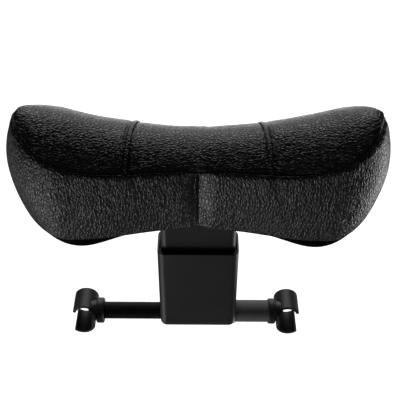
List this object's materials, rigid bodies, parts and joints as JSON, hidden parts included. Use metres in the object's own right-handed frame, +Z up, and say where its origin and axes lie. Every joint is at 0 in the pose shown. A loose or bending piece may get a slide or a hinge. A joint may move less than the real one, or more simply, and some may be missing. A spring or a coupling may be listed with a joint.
{
  "type": "chair headrest attachment",
  "caption": "Leather neck cushion on a post that slides in a tilting socket; a sprung telescoping crossbar with twist hooks clips it between two headrest rods.",
  "frame": {"origin": "on the crossbar's axis at the middle of the socket", "axes": "+Z up the post to the cushion's face, +X along the crossbar towards its thick tube, Y along the two rods that the hooks hold"},
  "size_m": [0.253, 0.0698, 0.2108],
  "materials": {
    "cover_leather": "black pebble-grain leather, satin",
    "foam": "moulded polyurethane foam",
    "board_plastic": "moulded inner board",
    "shell_plastic": "black moulded plastic, fine texture",
    "body_plastic": "dark grey moulded plastic, satin",
    "hook_plastic": "dark grey glass-filled nylon",
    "outer_tube_paint": "dark grey powder coat on steel",
    "inner_tube_paint": "gloss black enamel on steel",
    "nylon": "natural nylon",
    "bright_steel": "zinc-plated steel",
    "black_screws": "black oxide steel",
    "felt": "pressed felt on nylon"
  },
  "bodies": {
    "crossbar": {"outer_tube": "outer_tube_paint", "right_hook": "hook_plastic", "right_collar": "hook_plastic", "right_hook_pin": "bright_steel", "tube_guide_bush": "nylon", "bar_stop_ring": "bright_steel", "bar_spring": "bright_steel"},
    "left_arm": {"inner_tube": "inner_tube_paint", "left_hook": "hook_plastic", "left_collar": "hook_plastic", "left_hook_pin": "bright_steel", "inner_tube_plug": "nylon"},
    "socket": {"socket_sleeve": "body_plastic", "left_friction_bush": "nylon", "right_friction_bush": "nylon", "bush_set_screws": "bright_steel", "guide_liner": "nylon", "brake_shoe": "felt", "brake_spring": "bright_steel"},
    "cushion": {"post": "body_plastic", "post_stop_clip": "body_plastic", "back_shell": "shell_plastic", "post_screws": "black_screws", "shell_screws": "black_screws", "inner_board": "board_plastic", "foam_core": "foam", "face_panel_left": "cover_leather", "face_panel_centre": "cover_leather", "face_panel_right": "cover_leather", "front_band_left": "cover_leather", "front_band_right": "cover_leather", "back_band_left": "cover_leather", "back_band_right": "cover_leather"}
  },
  "joints": [
    {"name": "arm_slide", "type": "slide", "parent": "crossbar", "child": "left_arm", "axis": [1, 0, 0], "range_m": [0, 0.03], "stiffness_N_per_m": 300, "springref_m": -0.02, "deforming": ["bar_spring"]},
    {"name": "socket_tilt", "type": "hinge", "parent": "crossbar", "child": "socket", "pos_m": [0, 0, 0], "axis": [1, 0, 0], "range_deg": [-60, 60]},
    {"name": "post_slide", "type": "slide", "parent": "socket", "child": "cushion", "axis": [0, 0, 1], "range_m": [-0.022, 0.0155]}
  ]
}
